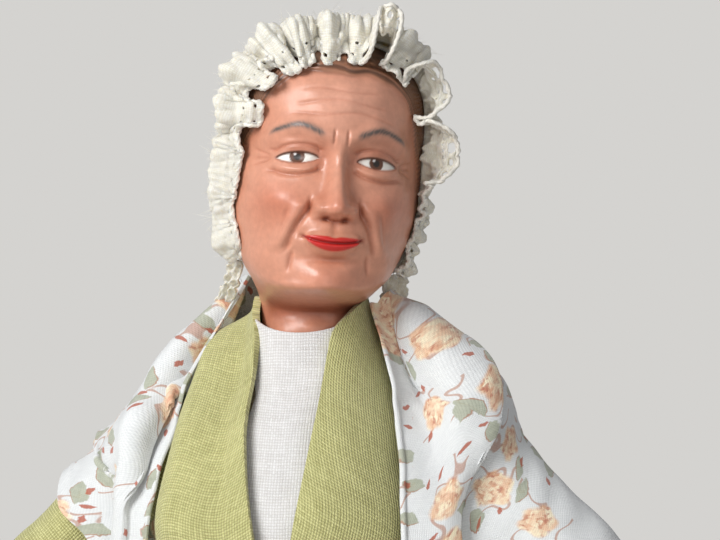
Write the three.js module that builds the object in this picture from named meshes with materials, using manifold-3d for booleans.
// A dressed santon: an old countrywoman about 30 cm tall, with a fired clay head, hands and shoes on a wire
// armature that is wrapped in tow and dressed in sewn cloth, standing on a turned wooden base.
// Millimetres, +Z up, origin under the middle of the base. The figure faces -Y and its left arm is on +X.
import * as THREE from "three";
import { mergeVertices } from "three/addons/utils/BufferGeometryUtils.js";
import Module from "manifold-3d";

const wasm = await Module();
wasm.setup();

// Clearances
const SEAT_GAP = 0.3; // between a piece and what carries it
const LAYER_GAP = 0.6; // between two layers of clothing

// Stand
const FELT_THICKNESS = 1.5;
const FELT_INSET = 3; // felt edge behind the rim of the base
const BASE_RADIUS = 55;
const BASE_THICKNESS = 13;
const BASE_ROUNDING = 3.5; // top edge of the base
const BASE_CHAMFER = 1; // bottom edge of the base
const SOCKET_DEPTH = 9; // blind holes for the leg wires
const BASE_SEGMENTS = 32;

// Wire armature
const LEG_WIRE_RADIUS = 1.5;
const ARM_WIRE_RADIUS = 1.1;
const NECK_WIRE_RADIUS = 1.6;
const LEG_SPACING = 26; // between the two leg wires
const LEG_WIRE_RUN_IN = 50; // how far the leg wires run up inside the trunk
const NECK_WIRE_RISE = 20; // neck wire above the neck seat, inside the head
const HAND_WIRE_DEPTH = 6; // arm wire inside the clay wrist

// Heights, each one above the one before it
const LEG_HEIGHT = 125.5; // base top to the foot of the trunk
const TRUNK_FOOT_TO_HIP = 20;
const HIP_TO_WAIST = 25;
const WAIST_TO_BUST = 25;
const BUST_TO_SHOULDER = 15.5; // to the arm pivots
const SHOULDER_TO_NECK = 13; // to the seat of the neck
const NECK_TO_CHIN = 11.5;

// Wrapped trunk, half widths and half depths
const TRUNK_FOOT = [20, 16];
const HIP = [25, 21];
const WAIST = [19.5, 16];
const BUST = [20, 18.5];
const SHOULDER = [15.2, 15];
const COLLAR_ROOT = [10.4, 9.8];
const BUST_FORWARD = 2; // how far the bust leans forward

// Shoes and legs
const SHOE_LENGTH = 30;
const SHOE_WIDTH = 11.5;
const SHOE_HEIGHT = 12;
const SHOE_HEEL = 10; // heel behind the leg wire
const ANKLE_RADIUS = 4.6;
const CALF_RADIUS = 7.6;
const THIGH_RADIUS = 9.6;

// Arms
const SHOULDER_SPAN = 47; // between the two arm pivots
const UPPER_ARM_LENGTH = 46;
const FOREARM_LENGTH = 40;
const UPPER_ARM_DIRECTION = [0.7, -0.1, -0.7]; // the left arm, mirrored for the right
const FOREARM_DIRECTION = [-0.35, -0.8, -0.49];
const ARM_WRAP_RADIUS = 5.6;
const WRIST_WRAP_RADIUS = 3.6;
const SLEEVE_CLOTH = 1;
const SLEEVE_EASE = 0.5; // between the wrapped arm and its sleeve
const CUFF_FLARE = 1.6; // extra sleeve radius at the wrist
const HAND_LENGTH = 26;
const PALM_WIDTH = 11;
const PALM_THICKNESS = 5.4;
const FINGER_RADIUS = 1.45;

// Clothing
const PETTICOAT_CLOTH = 0.8;
const SKIRT_CLOTH = 1;
const APRON_CLOTH = 0.8;
const BAND_CLOTH = 1.2;
const JACKET_CLOTH = 1.2;
const PLASTRON_CLOTH = 0.9;
const COLLAR_CLOTH = 1.6;
const NECK_EASE = 0.8; // between the clay neck and the clothing around it
const SHAWL_CLOTH = 1;
const SKIRT_HEM_RADIUS = 54;
const SKIRT_HEM_RISE = 7.5; // above the base
const SKIRT_FOLDS = 14;
const SKIRT_FOLD_DEPTH = 3.4; // at the hem
const PETTICOAT_EASE = 1.2; // at the hem, inside the skirt's folds
const PETTICOAT_HEM_RISE = 5;
const APRON_LENGTH = 112;
const APRON_FOLDS = 4; // how many of the skirt's folds it covers
const BAND_HEIGHT = 6.4;
const JACKET_OPENING = 36; // half angle of the front opening
const PLASTRON_HALF_ANGLE = 33;
const PLASTRON_NECK_ANGLE = 50; // it widens under the chin
const PLASTRON_RISE = 5.4; // above the seat of the neck
const COLLAR_STAND = 8; // height of the collar at the nape
const COLLAR_LIFT = 0.8; // between the jacket and the collar turned back over it
const ARMHOLE_RADIUS = 9.6;
const SHAWL_REACH_LEFT = 37; // down the left arm, from its pivot
const SHAWL_REACH_RIGHT = 25;
const SHAWL_EASE = 1.4; // around the sleeves
const SHAWL_PUFF = 4; // fullness over the left shoulder
const SHAWL_OPENING = 2.4; // how far the right front edge stands off
const SHAWL_FRONT_DROP = 46; // below the arm pivots
const SHAWL_BACK_DROP = 54;

// Head
const NECK_RADIUS = 8.6;
const HEAD_HEIGHT = 43.5; // chin to crown
const HEAD_WIDTH = 32.4;
const HEAD_DEPTH = 40;
const NOSE_HEIGHT = 4.6;
const NOSE_WIDTH = 6.4;
const HEAD_TURN = 20; // towards the figure's left
const HEAD_TILT = 5; // crown towards the figure's left

// Bonnet
const BONNET_CLOTH = 0.9;
const BONNET_EASE = 0.9; // between the clay hair and the cap
const BONNET_PUFF = 2.4; // extra fullness of the cap behind the crown
const BONNET_FOOT = 4.5; // lower edge of the cap above the chin
const RIM_JAW = 2; // rim of the cap in front of the neck axis, at the chin
const RIM_TOP = 9.5; // and at the crown
const FRILL_WIDTH = 9;
const FRILL_END_WIDTH = 5;
const FRILL_CLOTH = 0.8;
const FRILL_RUFFLES = 17;
const FRILL_RUFFLE_DEPTH = 1.6;
const TIE_WIDTH = 4.2;
const TIE_LENGTH = 4.6;
const TIE_CLOTH = 0.8;

// Colours and finishes
const finish = (color, roughness, metalness = 0) =>
  new THREE.MeshStandardMaterial({ color, roughness, metalness });
const CLAY_SKIN = finish(0xd59a78, 0.4);
const BLACK_CLAY = finish(0x2a2522, 0.45);
const BEECH = finish(0xa97a4c, 0.55);
const FELT = finish(0x3f4a38, 0.95);
const STEEL = finish(0x8d8f92, 0.35, 0.9);
const TOW = finish(0xb59a6c, 0.95);
const STOCKING = finish(0xe7e0d2, 0.9);
const GREEN_LINEN = finish(0xb9b677, 0.9);
const WHITE_LINEN = finish(0xdcdcdc, 0.9);
const FLORAL_COTTON = finish(0xd9d6d0, 0.88);
const LACE = finish(0xe0dac9, 0.9);

// Heights worked out from the driving dimensions
const BASE_TOP = FELT_THICKNESS + BASE_THICKNESS;
const TRUNK_FOOT_Z = BASE_TOP + LEG_HEIGHT;
const HIP_Z = TRUNK_FOOT_Z + TRUNK_FOOT_TO_HIP;
const WAIST_Z = HIP_Z + HIP_TO_WAIST;
const BUST_Z = WAIST_Z + WAIST_TO_BUST;
const SHOULDER_Z = BUST_Z + BUST_TO_SHOULDER;
const NECK_Z = SHOULDER_Z + SHOULDER_TO_NECK;
const CHIN_Z = NECK_Z + NECK_TO_CHIN;

const vec = (x, y, z) => new THREE.Vector3(x, y, z);
const radians = THREE.MathUtils.degToRad;
const lerp = THREE.MathUtils.lerp;
const smoothstep = THREE.MathUtils.smoothstep;

// Geometry helpers

// Merges shared vertices, drops collapsed triangles and turns the faces outwards.
function closed(geometry) {
  const bare = new THREE.BufferGeometry();
  bare.setAttribute("position", geometry.getAttribute("position").clone());
  if (geometry.index) bare.setIndex(geometry.index.clone());
  const merged = mergeVertices(bare, 1e-4);
  const index = merged.index.array;
  const kept = [];
  for (let i = 0; i < index.length; i += 3) {
    const [a, b, c] = [index[i], index[i + 1], index[i + 2]];
    if (a !== b && b !== c && a !== c) kept.push(a, b, c);
  }
  const position = merged.getAttribute("position");
  const [p, q, r] = [vec(), vec(), vec()];
  let volume = 0;
  for (let i = 0; i < kept.length; i += 3) {
    p.fromBufferAttribute(position, kept[i]);
    q.fromBufferAttribute(position, kept[i + 1]);
    r.fromBufferAttribute(position, kept[i + 2]);
    volume += p.dot(q.cross(r));
  }
  merged.setIndex(volume < 0 ? kept.reverse() : kept);
  return merged;
}

function toSolid(geometry) {
  const merged = closed(geometry);
  return new wasm.Manifold(
    new wasm.Mesh({
      numProp: 3,
      vertProperties: new Float32Array(merged.getAttribute("position").array),
      triVerts: new Uint32Array(merged.index.array),
    }),
  );
}

function fromSolid(solid) {
  const mesh = solid.getMesh();
  return new THREE.BufferGeometry()
    .setAttribute("position", new THREE.BufferAttribute(mesh.vertProperties, 3))
    .setIndex(new THREE.BufferAttribute(mesh.triVerts, 1));
}

const cut = (geometry, ...tools) =>
  fromSolid(tools.reduce((left, tool) => left.subtract(toSolid(tool)), toSolid(geometry)));
const join = (...geometries) =>
  fromSolid(geometries.map(toSolid).reduce((left, right) => left.add(right)));

// Rows of points of a surface, (rows + 1) by (columns + 1), for u and v from 0 to 1.
function grid(surface, columns, rows) {
  const points = [];
  for (let j = 0; j <= rows; j++)
    for (let i = 0; i <= columns; i++) points.push(surface(i / columns, j / rows));
  return points;
}

function fromTriangles(points, triangles) {
  const geometry = new THREE.BufferGeometry().setFromPoints(points);
  geometry.setIndex(triangles);
  return closed(geometry);
}

// Two triangles for each cell of a grid that starts at vertex `first`.
function gridFaces(first, columns, rows, flip) {
  const faces = [];
  for (let j = 0; j < rows; j++)
    for (let i = 0; i < columns; i++) {
      const a = first + j * (columns + 1) + i;
      const [b, c, d] = [a + 1, a + columns + 2, a + columns + 1];
      faces.push(...(flip ? [a, c, b, a, d, c] : [a, b, c, a, c, d]));
    }
  return faces;
}

// Wall between matching edge vertices of an outer and an inner grid.
function edgeFaces(outerEdge, innerEdge) {
  const faces = [];
  for (let k = 0; k + 1 < outerEdge.length; k++)
    faces.push(
      outerEdge[k], innerEdge[k], outerEdge[k + 1],
      outerEdge[k + 1], innerEdge[k], innerEdge[k + 1],
    );
  return faces;
}

// A sheet of cloth with thickness, between two surfaces that share their parameters.
// It is closed round `u` if ring is set.
function cloth(outer, inner, columns, rows, ring = false) {
  const across = columns + 1;
  const points = [...grid(outer, columns, rows), ...grid(inner, columns, rows)];
  const half = across * (rows + 1);
  const bottom = [...Array(across).keys()];
  const top = bottom.map((i) => i + rows * across);
  const left = [...Array(rows + 1).keys()].map((j) => j * across);
  const right = left.map((j) => j + columns);
  const inside = (edge) => edge.map((i) => i + half);
  const walls = [
    ...edgeFaces(bottom, inside(bottom)),
    ...edgeFaces(inside(top), top),
  ];
  if (!ring) walls.push(...edgeFaces(inside(left), left), ...edgeFaces(right, inside(right)));
  const skins = [
    ...gridFaces(0, columns, rows, false),
    ...gridFaces(half, columns, rows, true),
  ];
  return fromTriangles(points, [...skins, ...walls]);
}

// A solid loft, closed round `u`, with a flat fan on each end that isn't already a point.
function loft(surface, columns, rows) {
  const points = grid(surface, columns, rows);
  const faces = gridFaces(0, columns, rows, false);
  const ends = [0, rows].map((row) => {
    const edge = [...Array(columns + 1).keys()].map((i) => i + row * (columns + 1));
    const middle = edge.slice(0, -1).reduce((sum, i) => sum.add(points[i]), vec(0, 0, 0));
    points.push(middle.divideScalar(columns));
    return { edge, middle: points.length - 1 };
  });
  ends.forEach(({ edge, middle }, end) => {
    for (let k = 0; k < columns; k++)
      faces.push(middle, ...(end ? [edge[k], edge[k + 1]] : [edge[k + 1], edge[k]]));
  });
  return fromTriangles(points, faces);
}

// A turned piece: a profile of [radius, height] pairs, revolved about Z.
function turned(profile, segments) {
  const points = profile.map(([r, z]) => new THREE.Vector2(r, z));
  return closed(new THREE.LatheGeometry(points, segments).rotateX(Math.PI / 2));
}

// A round wire along a path.
function wire(path, radius, steps = 1, sides = 8) {
  const round = new THREE.Shape().absarc(0, 0, radius, 0, 2 * Math.PI);
  return closed(
    new THREE.ExtrudeGeometry(round, {
      curveSegments: sides / 2,
      steps,
      extrudePath: path,
      bevelEnabled: false,
    }),
  );
}

// A smooth function through [position, value] pairs in rising order, with no overshoot between them.
function through(pairs) {
  const n = pairs.length;
  const slope = pairs.slice(1).map(([x, y], k) => (y - pairs[k][1]) / (x - pairs[k][0]));
  const tangent = pairs.map((_, k) => {
    if (k === 0) return slope[0];
    if (k === n - 1) return slope[n - 2];
    const product = slope[k - 1] * slope[k];
    return product <= 0 ? 0 : (2 * product) / (slope[k - 1] + slope[k]);
  });
  return (x) => {
    let k = 0;
    while (k < n - 2 && x > pairs[k + 1][0]) k++;
    const [x0, y0] = pairs[k];
    const [x1, y1] = pairs[k + 1];
    const h = x1 - x0;
    const t = THREE.MathUtils.clamp((x - x0) / h, 0, 1);
    const rise = t * t * (3 - 2 * t);
    const lift0 = t * (1 - t) * (1 - t) * h * tangent[k];
    const lift1 = t * t * (t - 1) * h * tangent[k + 1];
    return lerp(y0, y1, rise) + lift0 + lift1;
  };
}

// The second skin of a cloth, a given distance along the normal of the first.
function raised(surface, distance) {
  const step = 1e-3;
  return (u, v) => {
    const [u0, u1] = [Math.max(0, u - step), Math.min(1, u + step)];
    const [v0, v1] = [Math.max(0, v - step), Math.min(1, v + step)];
    const along = surface(u1, v).sub(surface(u0, v));
    const across = surface(u, v1).sub(surface(u, v0));
    return surface(u, v).addScaledVector(along.cross(across).normalize(), distance);
  };
}

// Trunk form: an oval section at each height, followed by every garment. Angles run from the front to
// the figure's left.
const FORM_STATIONS = [
  [TRUNK_FOOT_Z, ...TRUNK_FOOT, 0],
  [HIP_Z, ...HIP, 0],
  [WAIST_Z, ...WAIST, 0],
  [BUST_Z, ...BUST, BUST_FORWARD],
  [SHOULDER_Z, ...SHOULDER, BUST_FORWARD / 2],
  [NECK_Z, ...COLLAR_ROOT, 0],
  [CHIN_Z, NECK_RADIUS + NECK_EASE, NECK_RADIUS + NECK_EASE, 0],
];
const formWidth = through(FORM_STATIONS.map(([z, width]) => [z, width]));
const formDepth = through(FORM_STATIONS.map(([z, , depth]) => [z, depth]));
const formForward = through(FORM_STATIONS.map(([z, , , forward]) => [z, forward]));

function onForm(degrees, z, offset) {
  const angle = radians(degrees);
  return vec(
    (formWidth(z) + offset) * Math.sin(angle),
    -formForward(z) - (formDepth(z) + offset) * Math.cos(angle),
    z,
  );
}

// Layers of one form share their facets when they share their rows: the heights from `low` to `high`, with
// each listed level between them.
const between = (low, high, levels) =>
  [low, ...levels.filter((z) => z > low + LAYER_GAP && z < high - LAYER_GAP), high];
const rowOf = (levels) => (v) => levels[Math.round(v * (levels.length - 1))];

const BAND_TOP = WAIST_Z + BAND_HEIGHT / 2;
const BAND_FOOT = WAIST_Z - BAND_HEIGHT / 2;
const FLARE_TOP = BAND_FOOT - SEAT_GAP; // the skirts widen below this
const FORM_LEVELS = FORM_STATIONS.slice(1).flatMap(([z], k) => {
  const below = FORM_STATIONS[k][0];
  return [0.5, 1].map((share) => lerp(below, z, share));
});
FORM_LEVELS.push(FLARE_TOP, SHOULDER_Z + SHOULDER_TO_NECK * 0.25, SHOULDER_Z + SHOULDER_TO_NECK * 0.75);
FORM_LEVELS.sort((a, b) => a - b);

// Stand: felt, turned base with sockets, clay shoes and wrapped legs on straight wires
function legWire(side, radius = LEG_WIRE_RADIUS, spare = 0) {
  const x = (side * LEG_SPACING) / 2;
  const foot = vec(x, 0, BASE_TOP - SOCKET_DEPTH - spare);
  const top = vec(x, 0, TRUNK_FOOT_Z + LEG_WIRE_RUN_IN + spare);
  return wire(new THREE.LineCurve3(foot, top), radius);
}

const legBore = (side) => legWire(side, LEG_WIRE_RADIUS + SEAT_GAP, SEAT_GAP);

function feltPad() {
  const r = BASE_RADIUS - FELT_INSET;
  return turned([[0, 0], [r, 0], [r, FELT_THICKNESS], [0, FELT_THICKNESS]], BASE_SEGMENTS);
}

function basePlate() {
  const arc = [0, 0.25, 0.5, 0.75, 1].map((t) => {
    const angle = (t * Math.PI) / 2;
    return [
      BASE_RADIUS - BASE_ROUNDING * (1 - Math.cos(angle)),
      BASE_TOP - BASE_ROUNDING * (1 - Math.sin(angle)),
    ];
  });
  const plate = turned(
    [
      [0, FELT_THICKNESS],
      [BASE_RADIUS - BASE_CHAMFER, FELT_THICKNESS],
      [BASE_RADIUS, FELT_THICKNESS + BASE_CHAMFER],
      ...arc,
      [0, BASE_TOP],
    ],
    BASE_SEGMENTS,
  );
  return cut(plate, legBore(-1), legBore(1));
}

function shoe(side) {
  const length = through([[0, 0.62], [0.12, 0.86], [0.45, 0.9], [0.75, 1], [0.93, 0.78], [1, 0.3]]);
  const height = through([[0, 0.8], [0.12, 1], [0.4, 1], [0.6, 0.72], [0.85, 0.6], [1, 0.25]]);
  const sole = BASE_TOP + SEAT_GAP;
  const surface = (u, v) => {
    const angle = 2 * Math.PI * u;
    const half = (SHOE_WIDTH / 2) * length(v);
    const tall = SHOE_HEIGHT * height(v);
    const lift = Math.max(0, 0.42 + 0.58 * Math.sin(angle));
    const x = (side * LEG_SPACING) / 2 + half * Math.cos(angle);
    return vec(x, SHOE_HEEL - SHOE_LENGTH * v, sole + tall * lift);
  };
  return cut(loft(surface, 12, 7), legBore(side));
}

function wrappedLeg(side) {
  const bottom = BASE_TOP + SEAT_GAP + SHOE_HEIGHT + SEAT_GAP;
  const top = TRUNK_FOOT_Z - SEAT_GAP;
  const bore = LEG_WIRE_RADIUS + SEAT_GAP;
  const radius = through([
    [0, ANKLE_RADIUS],
    [0.3, CALF_RADIUS],
    [0.5, CALF_RADIUS * 0.92],
    [1, THIGH_RADIUS],
  ]);
  const steps = [0, 0.15, 0.3, 0.5, 0.75, 1];
  const skin = steps.map((t) => [radius(t), lerp(bottom, top, t)]);
  const profile = [[bore, bottom], ...skin, [bore, top], [bore, bottom]];
  return turned(profile, 14).translate((side * LEG_SPACING) / 2, 0, 0);
}

// Trunk: tow wrapping over the wires, cross wire of the shoulders, neck wire
const ARM_PIVOT = vec(SHOULDER_SPAN / 2, 0, SHOULDER_Z);
const SLEEVE_RADIUS = ARM_WRAP_RADIUS + SLEEVE_EASE + SLEEVE_CLOTH;
const SHOULDER_WIRE_END = ARM_PIVOT.x - ARM_WRAP_RADIUS - SEAT_GAP;

const shoulderWire = (radius = ARM_WIRE_RADIUS) =>
  wire(
    new THREE.LineCurve3(
      vec(-SHOULDER_WIRE_END, 0, SHOULDER_Z),
      vec(SHOULDER_WIRE_END, 0, SHOULDER_Z),
    ),
    radius,
  );

// The neck wire stands on the cross wire.
const neckWire = (radius = NECK_WIRE_RADIUS, spare = 0) =>
  wire(
    new THREE.LineCurve3(
      vec(0, 0, SHOULDER_Z + ARM_WIRE_RADIUS + SEAT_GAP - spare),
      vec(0, 0, NECK_Z + NECK_WIRE_RISE + spare),
    ),
    radius,
  );

function trunk() {
  const levels = between(TRUNK_FOOT_Z, NECK_Z, FORM_LEVELS);
  const surface = (u, v) => onForm(360 * u, rowOf(levels)(v), 0);
  return cut(
    loft(surface, 20, levels.length - 1),
    legBore(-1),
    legBore(1),
    shoulderWire(ARM_WIRE_RADIUS + SEAT_GAP),
    neckWire(NECK_WIRE_RADIUS + SEAT_GAP, SEAT_GAP),
  );
}

// Skirts: layers around the waist, then a flare to the hem
const PETTICOAT_IN = LAYER_GAP;
const PETTICOAT_OUT = PETTICOAT_IN + PETTICOAT_CLOTH;
const SKIRT_IN = PETTICOAT_OUT + LAYER_GAP;
const SKIRT_OUT = SKIRT_IN + SKIRT_CLOTH;
const APRON_IN = SKIRT_OUT + LAYER_GAP;
const APRON_OUT = APRON_IN + APRON_CLOTH;
const SKIRT_TOP = BAND_TOP - SEAT_GAP;
const SKIRT_WAIST = [formWidth(FLARE_TOP), formDepth(FLARE_TOP)];
const HEM_Z = BASE_TOP + SKIRT_HEM_RISE;
const flare = through([[0, 0], [0.07, 0.17], [0.15, 0.31], [0.3, 0.48], [0.65, 0.78], [1, 1]]);
const SKIRT_LEVELS = [1, 0.65, 0.35, 0.15, 0.06, 0].map((share) => lerp(FLARE_TOP, HEM_Z, share));
const pleats = (degrees) => Math.cos(radians(SKIRT_FOLDS * degrees));
const valleys = () => -1;

// A point on the skirt, `offset` outside the waist, moved out or in by its gathers.
function onSkirt(degrees, z, offset, gathers) {
  const spread = flare((FLARE_TOP - z) / (FLARE_TOP - HEM_Z));
  const out = offset - SKIRT_OUT + SKIRT_FOLD_DEPTH * spread * gathers(degrees);
  const width = lerp(SKIRT_WAIST[0] + SKIRT_OUT, SKIRT_HEM_RADIUS, spread) + out;
  const depth = lerp(SKIRT_WAIST[1] + SKIRT_OUT, SKIRT_HEM_RADIUS, spread) + out;
  const angle = radians(degrees);
  return vec(width * Math.sin(angle), -depth * Math.cos(angle), z);
}

function skirt() {
  const levels = between(HEM_Z, SKIRT_TOP, SKIRT_LEVELS);
  const skin = (offset) => (u, v) => onSkirt(360 * u, rowOf(levels)(v), offset, pleats);
  return cloth(skin(SKIRT_OUT), skin(SKIRT_IN), 4 * SKIRT_FOLDS, levels.length - 1, true);
}

function petticoat() {
  const levels = between(BASE_TOP + PETTICOAT_HEM_RISE, FLARE_TOP, SKIRT_LEVELS);
  const skin = (offset) => (u, v) => {
    const z = rowOf(levels)(v);
    const ease = PETTICOAT_EASE * flare((FLARE_TOP - z) / (FLARE_TOP - HEM_Z));
    return onSkirt(360 * u, z, offset - ease, valleys);
  };
  return cloth(skin(PETTICOAT_OUT), skin(PETTICOAT_IN), 2 * SKIRT_FOLDS, levels.length - 1, true);
}

function apron() {
  const half = (180 * APRON_FOLDS) / SKIRT_FOLDS;
  const levels = between(FLARE_TOP - APRON_LENGTH, FLARE_TOP, SKIRT_LEVELS);
  const skin = (offset) => (u, v) =>
    onSkirt(lerp(-half, half, u), rowOf(levels)(v), offset, pleats);
  return cloth(skin(APRON_OUT), skin(APRON_IN), 4 * APRON_FOLDS, levels.length - 1);
}

function apronBand() {
  const skin = (offset) => (u, v) => onSkirt(360 * u, lerp(BAND_FOOT, BAND_TOP, v), offset, pleats);
  return cloth(skin(APRON_IN + BAND_CLOTH), skin(APRON_IN), 32, 1, true);
}

// Jacket, plastron and turned-back collar
const JACKET_IN = LAYER_GAP;
const JACKET_OUT = JACKET_IN + JACKET_CLOTH;
const PLASTRON_IN = LAYER_GAP;
const PLASTRON_OUT = PLASTRON_IN + PLASTRON_CLOTH;
const BODICE_FOOT = BAND_TOP + SEAT_GAP;
const COLLAR_IN = JACKET_OUT + COLLAR_LIFT;
const COLLAR_OUT = COLLAR_IN + COLLAR_CLOTH;
const JACKET_TOP = SHOULDER_Z + SHOULDER_TO_NECK / 2;
const COLLAR_TOP = NECK_Z + COLLAR_STAND;

function jacket() {
  const levels = between(BODICE_FOOT, JACKET_TOP, FORM_LEVELS);
  const skin = (offset) => (u, v) =>
    onForm(lerp(JACKET_OPENING, 360 - JACKET_OPENING, u), rowOf(levels)(v), offset);
  const armholes = [-1, 1].map((side) =>
    new THREE.SphereGeometry(ARMHOLE_RADIUS, 10, 8).translate(side * ARM_PIVOT.x, 0, SHOULDER_Z));
  return cut(cloth(skin(JACKET_OUT), skin(JACKET_IN), 20, levels.length - 1), ...armholes);
}

function plastron() {
  const levels = between(BODICE_FOOT, NECK_Z + PLASTRON_RISE, FORM_LEVELS);
  const skin = (offset) => (u, v) => {
    const z = rowOf(levels)(v);
    const open = smoothstep(z, JACKET_TOP + SEAT_GAP, NECK_Z);
    const half = lerp(PLASTRON_HALF_ANGLE, PLASTRON_NECK_ANGLE, open);
    return onForm(lerp(-half, half, u), z, offset);
  };
  return cloth(skin(PLASTRON_OUT), skin(PLASTRON_IN), 10, levels.length - 1);
}

// The collar runs from the left of the waist, round the nape, to the right of the waist, and its inner edge
// turns into the top edge at the neck. Each pair is [share of the way from the waist to the nape, value].
const collarInnerAngle = through([[0, 2], [0.25, 8], [0.45, 18], [0.6, 50], [0.74, 100], [1, 180]]);
const collarOuterAngle = through([[0, 34], [0.25, 64], [0.45, 74], [0.6, 86], [0.74, 115], [1, 180]]);
const collarInnerZ = through([
  [0, BODICE_FOOT],
  [0.25, BUST_Z],
  [0.45, SHOULDER_Z + SHOULDER_TO_NECK * 0.2],
  [0.6, NECK_Z + PLASTRON_RISE],
  [0.74, COLLAR_TOP],
  [1, COLLAR_TOP],
]);
const collarOuterZ = through([
  [0, BODICE_FOOT],
  [0.25, BUST_Z - BUST_TO_SHOULDER * 0.2],
  [0.45, SHOULDER_Z - SHOULDER_TO_NECK * 0.1],
  [0.6, JACKET_TOP],
  [0.74, NECK_Z],
  [1, NECK_Z],
]);
const collarLift = through([
  [0, COLLAR_IN],
  [0.52, COLLAR_IN],
  [0.63, PLASTRON_OUT + LAYER_GAP],
  [0.78, LAYER_GAP],
  [1, LAYER_GAP],
]);

function collar() {
  const skin = (extra) => (u, v) => {
    const side = u < 0.5 ? -1 : 1;
    const share = 1 - Math.abs(2 * u - 1);
    const angle = lerp(collarOuterAngle(share), collarInnerAngle(share), v);
    const z = lerp(collarOuterZ(share), collarInnerZ(share), v);
    return onForm(side * angle, z, collarLift(share) + extra);
  };
  return cloth(skin(COLLAR_CLOTH), skin(0), 32, 3);
}

// Arms: groups with +Z down the arm, so that each piece is turned about its wire
function armAxis(side, direction) {
  const [x, y, z] = direction;
  return vec(side * x, y, z).normalize();
}

const ELBOW_CLEARANCE = SLEEVE_RADIUS + LAYER_GAP; // the upper arm stops here, before the ball of the elbow

// Points of a quarter circle about the origin from the pole to the equator, as [radius, height].
const dome = (radius, start) =>
  [0, 0.25, 0.5, 0.75].map((t) => {
    const angle = lerp(start, Math.PI / 2, t);
    return [radius * Math.sin(angle), -radius * Math.cos(angle)];
  });

function wrappedUpperArm() {
  const bore = ARM_WIRE_RADIUS + SEAT_GAP;
  const cap = dome(ARM_WRAP_RADIUS, Math.asin(bore / ARM_WRAP_RADIUS));
  const end = UPPER_ARM_LENGTH - ELBOW_CLEARANCE;
  return turned([...cap, [ARM_WRAP_RADIUS, 0], [ARM_WRAP_RADIUS * 0.94, end], [bore, end], cap[0]], 12);
}

function upperSleeve() {
  const inner = ARM_WRAP_RADIUS + SLEEVE_EASE;
  const end = UPPER_ARM_LENGTH - ELBOW_CLEARANCE;
  const start = -ARM_WRAP_RADIUS / 4;
  const middle = end / 2;
  return turned(
    [[inner, start], [SLEEVE_RADIUS, start], [SLEEVE_RADIUS, middle], [SLEEVE_RADIUS * 0.96, end],
      [SLEEVE_RADIUS * 0.96 - SLEEVE_CLOTH, end], [inner, middle], [inner, start]],
    14,
  );
}

const upperArmWire = () =>
  wire(
    new THREE.LineCurve3(
      vec(0, 0, -ARM_WRAP_RADIUS),
      vec(0, 0, UPPER_ARM_LENGTH - ELBOW_CLEARANCE),
    ),
    ARM_WIRE_RADIUS,
  );

function wrappedForearm() {
  const bore = ARM_WIRE_RADIUS + SEAT_GAP;
  const cap = dome(ARM_WRAP_RADIUS, Math.asin(bore / ARM_WRAP_RADIUS));
  const end = FOREARM_LENGTH - SEAT_GAP;
  return turned([...cap, [ARM_WRAP_RADIUS, 0], [WRIST_WRAP_RADIUS, end], [bore, end], cap[0]], 12);
}

function lowerSleeve() {
  const inner = ARM_WRAP_RADIUS + SLEEVE_EASE;
  const end = FOREARM_LENGTH - SEAT_GAP;
  const vent = Math.asin((ARM_WIRE_RADIUS + SEAT_GAP) / inner);
  const outerCap = dome(SLEEVE_RADIUS, vent);
  const innerCap = dome(inner, vent);
  const cuff = WRIST_WRAP_RADIUS + SLEEVE_EASE + CUFF_FLARE;
  const middle = 0.55 * end;
  const profile = [
    ...outerCap, [SLEEVE_RADIUS, 0], [SLEEVE_RADIUS * 0.97, middle], [cuff + SLEEVE_CLOTH, end],
    [cuff, end], [SLEEVE_RADIUS * 0.97 - SLEEVE_CLOTH, middle], [inner, 0],
    ...innerCap.reverse(), outerCap[0],
  ];
  return turned(profile, 12);
}

const forearmWire = (radius = ARM_WIRE_RADIUS, spare = 0) =>
  wire(
    new THREE.LineCurve3(
      vec(0, 0, -ARM_WRAP_RADIUS),
      vec(0, 0, FOREARM_LENGTH + HAND_WIRE_DEPTH + spare),
    ),
    radius,
  );

// A tapered finger from `root`, bent a little towards the palm.
function finger(root, tip, radius) {
  const knuckle = root.clone().lerp(tip, 0.55).add(vec(0, radius * 0.5, 0));
  const path = new THREE.QuadraticBezierCurve3(root, knuckle, tip);
  const surface = (u, v) => {
    const angle = 2 * Math.PI * u;
    const atTip = v === 1;
    const r = radius * lerp(1, 0.85, v) * (atTip ? 0.6 : 1);
    const middle = path.getPoint(Math.min(1, v / 0.75));
    return middle.add(vec(r * Math.cos(angle), r * Math.sin(angle), atTip ? radius / 2 : 0));
  };
  return loft(surface, 6, 4);
}

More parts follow.
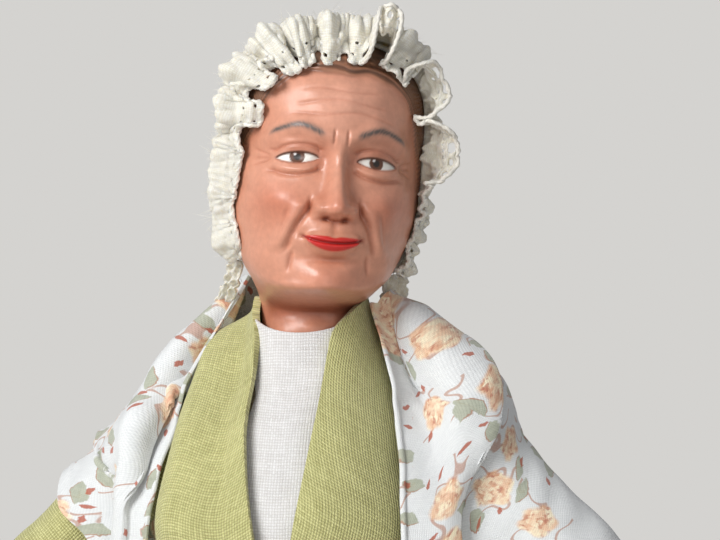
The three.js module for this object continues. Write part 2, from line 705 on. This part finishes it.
// Clay hand with its wrist at the origin and fingers along +Z; the palm faces +Y and the thumb is on -X.
function hand(mirror) {
  const palmLength = HAND_LENGTH * 0.52;
  const width = through([
    [0, WRIST_WRAP_RADIUS],
    [0.25, WRIST_WRAP_RADIUS],
    [0.7, PALM_WIDTH / 2],
    [1, PALM_WIDTH * 0.45],
  ]);
  const thick = through([
    [0, WRIST_WRAP_RADIUS * 0.85],
    [0.3, PALM_THICKNESS * 0.55],
    [1, PALM_THICKNESS * 0.4],
  ]);
  const palm = loft((u, v) => {
    const angle = 2 * Math.PI * u;
    return vec(width(v) * Math.cos(angle), thick(v) * Math.sin(angle), palmLength * v);
  }, 12, 5);
  const reach = [0.88, 1, 0.97, 0.82];
  const fingers = reach.map((share, k) => {
    const x = (k - 1.5) * 2 * FINGER_RADIUS * 0.94;
    const root = vec(x * 0.9, 0, palmLength - FINGER_RADIUS);
    const tip = vec(x * 1.15, 1.6, lerp(palmLength, HAND_LENGTH, share));
    return finger(root, tip, FINGER_RADIUS);
  });
  const thumbRoot = vec(-PALM_WIDTH * 0.34, 0, palmLength * 0.5);
  const thumbTip = vec(-PALM_WIDTH * 0.68, 2.2, palmLength * 1.12);
  const thumb = finger(thumbRoot, thumbTip, FINGER_RADIUS * 1.1);
  const whole = join(palm, ...fingers, thumb).scale(mirror, 1, 1);
  const bore = forearmWire(ARM_WIRE_RADIUS + SEAT_GAP, SEAT_GAP).translate(0, 0, -FOREARM_LENGTH);
  return cut(whole, bore);
}

// Shawl: a sheet over the shoulders, lofted over lines that run from the neck to the hem. The lines near the
// front and the back lie on the bodice, those between them on the sleeve.
const SHAWL_LIE = COLLAR_OUT + LAYER_GAP;
const SHAWL_NECK = PLASTRON_OUT + COLLAR_CLOTH + 3 * LAYER_GAP;
const SHAWL_SLOPE_Z = lerp(NECK_Z, SHOULDER_Z, 0.35);
const SHAWL_EDGE_LEFT = [70, 58, 56, 51, 50, 50]; // angles of the front edge, from the neck down
const SHAWL_EDGE_RIGHT = [76, 70, 63, 66, 64, 62];
const SHAWL_FOLD_LEFT = 12; // angle from the front edge to the middle of the front fold
const SHAWL_FOLD_RIGHT = 6;

function shawlLines(side) {
  const left = side > 0;
  const reach = left ? SHAWL_REACH_LEFT : SHAWL_REACH_RIGHT;
  const puff = left ? SHAWL_PUFF : 0;
  const edge = left ? SHAWL_EDGE_LEFT : SHAWL_EDGE_RIGHT;
  const opening = left ? 0 : SHAWL_OPENING;
  const fold = left ? SHAWL_FOLD_LEFT : SHAWL_FOLD_RIGHT;
  const axis = armAxis(side, UPPER_ARM_DIRECTION);
  const upwards = vec(-axis.z * side, 0, axis.x * side).normalize();
  const forwards = axis.clone().cross(upwards).multiplyScalar(side);
  const over = SLEEVE_RADIUS + SHAWL_EASE;

  const form = (degrees, z, extra) => onForm(side * degrees, z, SHAWL_LIE + extra);
  const neck = (degrees, drop = 0) => onForm(side * degrees, COLLAR_TOP - drop, SHAWL_NECK);
  const arm = (along, degrees, extra) =>
    vec(side * ARM_PIVOT.x, 0, SHOULDER_Z)
      .addScaledVector(axis, along)
      .addScaledVector(upwards, (over + extra) * Math.cos(radians(degrees)))
      .addScaledVector(forwards, (over + extra) * Math.sin(radians(degrees)));

  const fronts = [SHAWL_SLOPE_Z, SHOULDER_Z, BUST_Z, WAIST_Z + BAND_HEIGHT, SHOULDER_Z - SHAWL_FRONT_DROP];
  const backs = [SHAWL_SLOPE_Z, SHOULDER_Z, BUST_Z, WAIST_Z + BAND_HEIGHT, SHOULDER_Z - SHAWL_BACK_DROP];
  const rise = (share) => lerp(backs[4], BUST_Z, share);
  const frontEdge = fronts.map((z, k) => form(edge[k + 1], z, opening + [1, 0.8, 0.8, 1.6, 3.4][k]));
  const panel = fronts.map((z, k) => form(edge[k + 1] + fold, z, opening + [1.4, 4, 3.6, 4, 5.6][k]));
  const backPanel = backs.map((z, k) => form(150, k < 4 ? z : rise(0.25), [1.6, 2, 2.4, 2.4, 4][k]));
  const middle = reach * 0.65;
  const underArm = [
    form(80, SHAWL_SLOPE_Z, 2.4),
    arm(2, 66, 3),
    arm(10, 96, 1.4),
    arm(middle, 108, 1),
    arm(reach - 4, 118, 2),
  ];
  const armFront = [
    arm(-12, 30, 2.6),
    arm(2, 40, 1 + puff / 3),
    arm(11, 55, 0.2),
    arm(middle, 60, 0),
    arm(reach, 64, 0.4),
  ];
  const armTop = [
    arm(-13, 0, 2.6),
    arm(-2, 0, 1 + puff),
    arm(8, 0, 0.4),
    arm(middle, 0, 0),
    arm(reach + 2, 0, 0),
  ];
  const armBack = [
    arm(-12, -32, 2.6),
    arm(2, -44, 1 + puff / 3),
    arm(11, -58, 0.2),
    arm(middle, -62, 0),
    arm(reach, -66, 0.4),
  ];
  const blade = [
    form(120, SHAWL_SLOPE_Z, 2.6),
    form(114, SHOULDER_Z, 5.4),
    form(117, lerp(SHOULDER_Z, BUST_Z, 0.5), 5.6),
    form(120, rise(0.8), 5),
    form(122, rise(0.55), 4.6),
  ];
  return [
    [neck(edge[0]), ...frontEdge],
    [neck(80), ...panel],
    [neck(85), ...underArm],
    [neck(90), ...armFront],
    [neck(95), ...armTop],
    [neck(104), ...armBack],
    [neck(126, 2), ...blade],
    [neck(155, 3), ...backPanel],
  ];
}

function shawl() {
  const spine = [SHAWL_SLOPE_Z, SHOULDER_Z, BUST_Z, WAIST_Z + BAND_HEIGHT, SHOULDER_Z - SHAWL_BACK_DROP];
  const backEdge = spine.map((z, k) => onForm(180, z, SHAWL_LIE + [1, 1.4, 1.6, 2, 4.4][k]));
  const nape = onForm(180, COLLAR_TOP - 3.4, SHAWL_NECK);
  const lines = [...shawlLines(-1), [nape, ...backEdge], ...shawlLines(1).reverse()].map(
    (points) => new THREE.CatmullRomCurve3(points));
  const under = (u, v) =>
    new THREE.CatmullRomCurve3(lines.map((line) => line.getPoint(1 - v))).getPoint(u);
  return cloth(raised(under, -SHAWL_CLOTH), under, 40, 9);
}

// Head: rings between a front and a back profile, upright; each row is
// [front y, front z, back y, back z, half width], as shares of the head's depth, height and width.
const HEAD_ROWS = [
  [-0.39, -0.03, 0.255, 0.09, 0.315],
  [-0.507, 0.028, 0.312, 0.172, 0.383],
  [-0.505, 0.126, 0.375, 0.241, 0.438],
  [-0.53, 0.207, 0.425, 0.31, 0.469],
  [-0.525, 0.31, 0.462, 0.402, 0.494],
  [-0.49, 0.494, 0.487, 0.552, 0.5],
  [-0.515, 0.61, 0.475, 0.667, 0.5],
  [-0.495, 0.736, 0.425, 0.782, 0.481],
  [-0.425, 0.85, 0.337, 0.885, 0.417],
  [-0.287, 0.947, 0.212, 0.961, 0.293],
  [-0.04, 1, -0.03, 1, 0],
];

const SKULL_COLUMNS = 22;
const SKULL_RINGS = 22;

// The rings of the skull, grown by `ease` all round and by `puff` behind.
function skullRings(ease, puff = 0) {
  const foot = NECK_Z + SEAT_GAP;
  const throat = CHIN_Z - NECK_TO_CHIN * 0.27;
  const rows = [
    [-NECK_RADIUS, foot, NECK_RADIUS, foot, NECK_RADIUS],
    [-NECK_RADIUS, lerp(foot, throat, 0.6), NECK_RADIUS, lerp(foot, throat, 0.6), NECK_RADIUS],
    [-NECK_RADIUS * 1.1, throat, NECK_RADIUS * 1.06, throat + NECK_TO_CHIN * 0.27, NECK_RADIUS * 1.03],
    ...HEAD_ROWS.map(([fy, fz, by, bz, w]) => [
      fy * HEAD_DEPTH - ease,
      CHIN_Z + fz * HEAD_HEIGHT + fz * ease,
      by * HEAD_DEPTH + ease + puff * Math.sin(Math.PI * Math.max(0, bz)),
      CHIN_Z + bz * HEAD_HEIGHT + bz * ease,
      w && w * HEAD_WIDTH + ease,
    ]),
  ];
  const along = (k) => through(rows.map((row, i) => [i / (rows.length - 1), row[k]]));
  const [frontY, frontZ, backY, backZ, half] = [0, 1, 2, 3, 4].map(along);
  return (v) => ({
    frontY: frontY(v),
    frontZ: frontZ(v),
    backY: backY(v),
    backZ: backZ(v),
    half: half(v),
  });
}

// A point on a ring, at a share of its depth from front to back.
function onRing({ frontY, frontZ, backY, backZ, half }, share, side) {
  const x = side * half * 2 * Math.sqrt(Math.max(0, share * (1 - share)));
  return vec(x, lerp(frontY, backY, share), lerp(frontZ, backZ, share));
}

// The skin over the rings, with most columns at the face.
const skullSurface = (rings) => (u, v) => {
  const angle = 2 * Math.PI * u - 0.75 * Math.sin(2 * Math.PI * u);
  return onRing(rings(v), (1 - Math.cos(angle)) / 2, u < 0.5 ? 1 : -1);
};

// Leans a point of the upright head sideways about the chin, leaving the neck upright.
function leaned(point) {
  const share = smoothstep(point.z, CHIN_Z - NECK_TO_CHIN / 2, CHIN_Z + NECK_TO_CHIN);
  const pivot = vec(0, 0, CHIN_Z);
  return point.sub(pivot).applyAxisAngle(vec(0, 1, 0), radians(HEAD_TILT) * share).add(pivot);
}

function head() {
  const noseFoot = CHIN_Z + 0.31 * HEAD_HEIGHT;
  const noseRoot = CHIN_Z + 0.56 * HEAD_HEIGHT;
  const noseRise = through([[0, 0], [0.12, 0.75], [0.22, 1], [0.6, 0.52], [1, 0]]);
  const skin = skullSurface(skullRings(0));
  const surface = (u, v) => {
    const point = skin(u, v);
    const along = (point.z - noseFoot) / (noseRoot - noseFoot);
    const nose = along > 0 && along < 1 && point.y < 0 ? NOSE_HEIGHT * noseRise(along) : 0;
    point.y -= nose * Math.exp(-((point.x / (NOSE_WIDTH * 0.42)) ** 2));
    return leaned(point);
  };
  return cut(loft(surface, SKULL_COLUMNS, SKULL_RINGS), neckWire(NECK_WIRE_RADIUS + SEAT_GAP, SEAT_GAP));
}

// Bonnet: a cap over the skull, open in front of a leaning plane and below the ears, a ruffled lace frill that
// stands on its rim, and two lace ties.
const CAP_FOOT = CHIN_Z + BONNET_FOOT;
const facePlane = (z) => lerp(-RIM_JAW, -RIM_TOP, (z - CHIN_Z) / HEAD_HEIGHT);

function bonnetCap() {
  const shell = (ease) => loft(skullSurface(skullRings(ease, BONNET_PUFF)), SKULL_COLUMNS, SKULL_RINGS);
  const room = 3 * (HEAD_HEIGHT + HEAD_DEPTH);
  const face = new THREE.BoxGeometry(room, room, room)
    .translate(0, -room / 2, 0)
    .rotateX(Math.atan2(RIM_TOP - RIM_JAW, HEAD_HEIGHT))
    .translate(0, facePlane(CHIN_Z), CHIN_Z);
  const below = new THREE.BoxGeometry(room, room, room).translate(0, 0, CAP_FOOT - room / 2);
  return cut(shell(BONNET_EASE + BONNET_CLOTH), shell(BONNET_EASE), face, below);
}

// Where the grown skull meets the face plane, from the right jaw over the top to the left jaw.
function rimCurve(ease) {
  const rings = skullRings(ease);
  const left = [];
  for (let v = 0; v <= 1; v += 1 / 60) {
    const ring = rings(v);
    const share = (facePlane(ring.frontZ) - ring.frontY) / (ring.backY - ring.frontY);
    const point = onRing(ring, share, 1);
    if (share > 0 && point.z > CAP_FOOT) left.push(point);
  }
  const right = left.map((point) => vec(-point.x, point.y, point.z));
  return new THREE.CatmullRomCurve3([...right, ...left.reverse()]);
}

// The frill rolls forward from the rim; its ruffles open towards the free edge.
function bonnetFrill() {
  const rim = rimCurve(BONNET_EASE + BONNET_CLOTH / 2);
  const forward = vec(0, -1, 0);
  const middle = (u, v) => {
    const along = rim.getTangentAt(u);
    const outwards = forward.clone().cross(along).normalize();
    const width = lerp(FRILL_WIDTH, FRILL_END_WIDTH, (2 * u - 1) ** 2) * v;
    const wave = 2 * Math.PI * FRILL_RUFFLES * u;
    const swing = FRILL_RUFFLE_DEPTH * smoothstep(v, 0, 0.7);
    const lean = swing * Math.SQRT1_2 * Math.sin(wave);
    return rim
      .getPointAt(u)
      .addScaledVector(outwards, width * 0.62 + lean)
      .addScaledVector(forward, SEAT_GAP + FRILL_CLOTH + width * 0.72 - lean)
      .addScaledVector(along, swing * 0.4 * Math.sin(2 * wave));
  };
  return cloth(raised(middle, FRILL_CLOTH), middle, 4 * FRILL_RUFFLES, 2);
}

// A short lace end under the lower edge of the cap, beside the jaw.
function bonnetTie(side) {
  const rim = rimCurve(BONNET_EASE).getPoint(side > 0 ? 1 : 0);
  const strip = (u, v) =>
    vec(
      rim.x + side * 1.2 * v * v,
      facePlane(CAP_FOOT) + SEAT_GAP + TIE_WIDTH * u + 0.8 * v,
      CAP_FOOT - SEAT_GAP - TIE_LENGTH * v,
    );
  return cloth(raised(strip, side * TIE_CLOTH), strip, 2, 3);
}

// Assembly
function named(name, geometry, material) {
  const mesh = new THREE.Mesh(geometry, material);
  mesh.name = name;
  return mesh;
}

const santon = new THREE.Group();
santon.add(
  named("base_felt", feltPad(), FELT),
  named("base_plate", basePlate(), BEECH),
  named("trunk_wrapping", trunk(), TOW),
  named("shoulder_wire", shoulderWire(), STEEL),
  named("neck_wire", neckWire(), STEEL),
  named("petticoat", petticoat(), WHITE_LINEN),
  named("skirt", skirt(), GREEN_LINEN),
  named("apron", apron(), WHITE_LINEN),
  named("apron_band", apronBand(), WHITE_LINEN),
  named("jacket", jacket(), GREEN_LINEN),
  named("plastron", plastron(), WHITE_LINEN),
  named("jacket_collar", collar(), GREEN_LINEN),
  named("shawl", shawl(), FLORAL_COTTON),
);

for (const [label, side] of [["left", 1], ["right", -1]]) {
  santon.add(
    named(`${label}_shoe`, shoe(side), BLACK_CLAY),
    named(`${label}_leg_wire`, legWire(side), STEEL),
    named(`${label}_leg_wrapping`, wrappedLeg(side), STOCKING),
  );

  const upper = armAxis(side, UPPER_ARM_DIRECTION);
  const lower = armAxis(side, FOREARM_DIRECTION);
  const shoulderToElbow = new THREE.Quaternion().setFromUnitVectors(vec(0, 0, 1), upper);
  const elbowToWrist = new THREE.Quaternion().setFromUnitVectors(vec(0, 0, 1), lower);

  const upperArm = new THREE.Group();
  upperArm.position.set(side * ARM_PIVOT.x, 0, SHOULDER_Z);
  upperArm.quaternion.copy(shoulderToElbow);
  upperArm.add(
    named(`${label}_upper_arm_wire`, upperArmWire(), STEEL),
    named(`${label}_upper_arm_wrapping`, wrappedUpperArm(), TOW),
    named(`${label}_upper_sleeve`, upperSleeve(), GREEN_LINEN),
  );

  const forearm = new THREE.Group();
  forearm.position.set(0, 0, UPPER_ARM_LENGTH);
  forearm.quaternion.copy(shoulderToElbow.clone().invert().multiply(elbowToWrist));
  const clayHand = named(`${label}_hand`, hand(side), CLAY_SKIN);
  clayHand.position.set(0, 0, FOREARM_LENGTH);
  forearm.add(
    named(`${label}_forearm_wire`, forearmWire(), STEEL),
    named(`${label}_forearm_wrapping`, wrappedForearm(), TOW),
    named(`${label}_lower_sleeve`, lowerSleeve(), GREEN_LINEN),
    clayHand,
  );
  upperArm.add(forearm);
  santon.add(upperArm);
}

const headGroup = new THREE.Group();
headGroup.rotation.z = radians(HEAD_TURN);
headGroup.add(named("head", head(), CLAY_SKIN));

const bonnet = new THREE.Group();
bonnet.position.set(0, 0, CHIN_Z);
bonnet.rotation.y = radians(HEAD_TILT);
const bonnetPieces = [
  named("bonnet_cap", bonnetCap(), LACE),
  named("bonnet_frill", bonnetFrill(), LACE),
  named("left_tie", bonnetTie(1), LACE),
  named("right_tie", bonnetTie(-1), LACE),
];
for (const piece of bonnetPieces) {
  piece.position.set(0, 0, -CHIN_Z);
  bonnet.add(piece);
}
headGroup.add(bonnet);
santon.add(headGroup);

export default santon;
